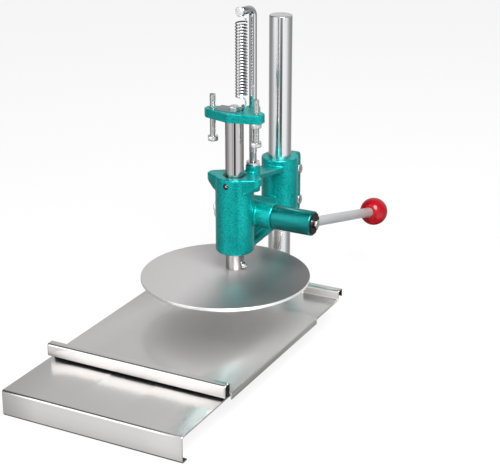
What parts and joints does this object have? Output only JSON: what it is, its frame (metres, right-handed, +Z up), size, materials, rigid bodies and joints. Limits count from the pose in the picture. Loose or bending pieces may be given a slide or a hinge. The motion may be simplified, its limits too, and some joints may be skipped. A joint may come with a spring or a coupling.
{
  "type": "manual_dough_press",
  "caption": "Lever-operated dough press with a rack and pinion ram, round pressing disc, return spring, chromed column and sliding stainless steel tray",
  "frame": {"origin": "On the resting plane, straight under the axis of the ram", "axes": "X to the right along the front edge of the base, Y to the rear towards the column, Z up"},
  "size_m": [0.244, 0.6134, 0.426],
  "materials": {
    "cast_paint": "hammered, semi-gloss",
    "hub_paint": "smooth, gloss",
    "stainless_sheet": "brushed along the long side",
    "disc_steel": "brushed, satin",
    "chrome_steel": "polished",
    "bright_steel": "ground, bright",
    "zinc_steel": "zinc plated",
    "spring_steel": "drawn wire, plated",
    "black_steel": "black oxide, satin",
    "bronze": "machined, oiled",
    "red_plastic": "moulded, high gloss"
  },
  "bodies": {
    "base": {"base_sheet": "stainless_sheet", "base_screws": "zinc_steel", "column_foot": "cast_paint", "column": "chrome_steel", "foot_bolt": "zinc_steel"},
    "tray": {"tray": "stainless_sheet"},
    "head": {"head_casting": "cast_paint", "lower_ram_bush": "bronze", "upper_ram_bush": "bronze", "right_shaft_bush": "bronze", "left_shaft_bush": "bronze", "housing_cap": "bright_steel", "bush_screw": "black_steel", "clamp_bolts": "zinc_steel", "clamp_nuts": "zinc_steel", "guide_rod": "bright_steel", "guide_nut": "zinc_steel"},
    "ram": {"ram": "chrome_steel", "crossbar": "cast_paint", "crossbar_bolt": "zinc_steel", "spring_plate": "zinc_steel", "lock_nut": "zinc_steel", "press_disc": "disc_steel", "disc_spindle": "chrome_steel", "disc_screw": "zinc_steel", "return_spring": "spring_steel"},
    "left_stop": {"left_stop_bolt": "zinc_steel"},
    "right_stop": {"right_stop_bolt": "zinc_steel"},
    "lever": {"pinion_shaft": "bright_steel", "lever_hub": "hub_paint", "hub_pin": "bright_steel", "hub_washer": "zinc_steel", "hub_bolt": "zinc_steel", "lever_rod": "bright_steel", "ball_knob": "red_plastic", "shaft_washer": "zinc_steel", "shaft_bolt": "zinc_steel"}
  },
  "joints": [
    {"name": "tray_slide", "type": "slide", "parent": "base", "child": "tray", "axis": [0, -1, 0], "range_m": [-0.035, 0.16]},
    {"name": "head_height", "type": "slide", "parent": "base", "child": "head", "axis": [0, 0, 1], "range_m": [-0.03, 0.05]},
    {"name": "lever_hinge", "type": "hinge", "parent": "head", "child": "lever", "pos_m": [0, 0.023, 0.152], "axis": [1, 0, 0], "range_deg": [0, 169]},
    {"name": "ram_slide", "type": "slide", "parent": "head", "child": "ram", "axis": [0, 0, 1], "range_m": [-0.04, 0], "stiffness_N_per_m": 600, "springref_m": 0.06, "deforming": ["return_spring"]},
    {"name": "left_stop_slide", "type": "slide", "parent": "ram", "child": "left_stop", "axis": [0, 0, 1], "range_m": [-0.012, 0.015]},
    {"name": "right_stop_slide", "type": "slide", "parent": "ram", "child": "right_stop", "axis": [0, 0, 1], "range_m": [-0.012, 0.015]}
  ],
  "couplings": [
    {"joint": "ram_slide", "follows": "lever_hinge", "m_per_rad": -0.0135}
  ]
}
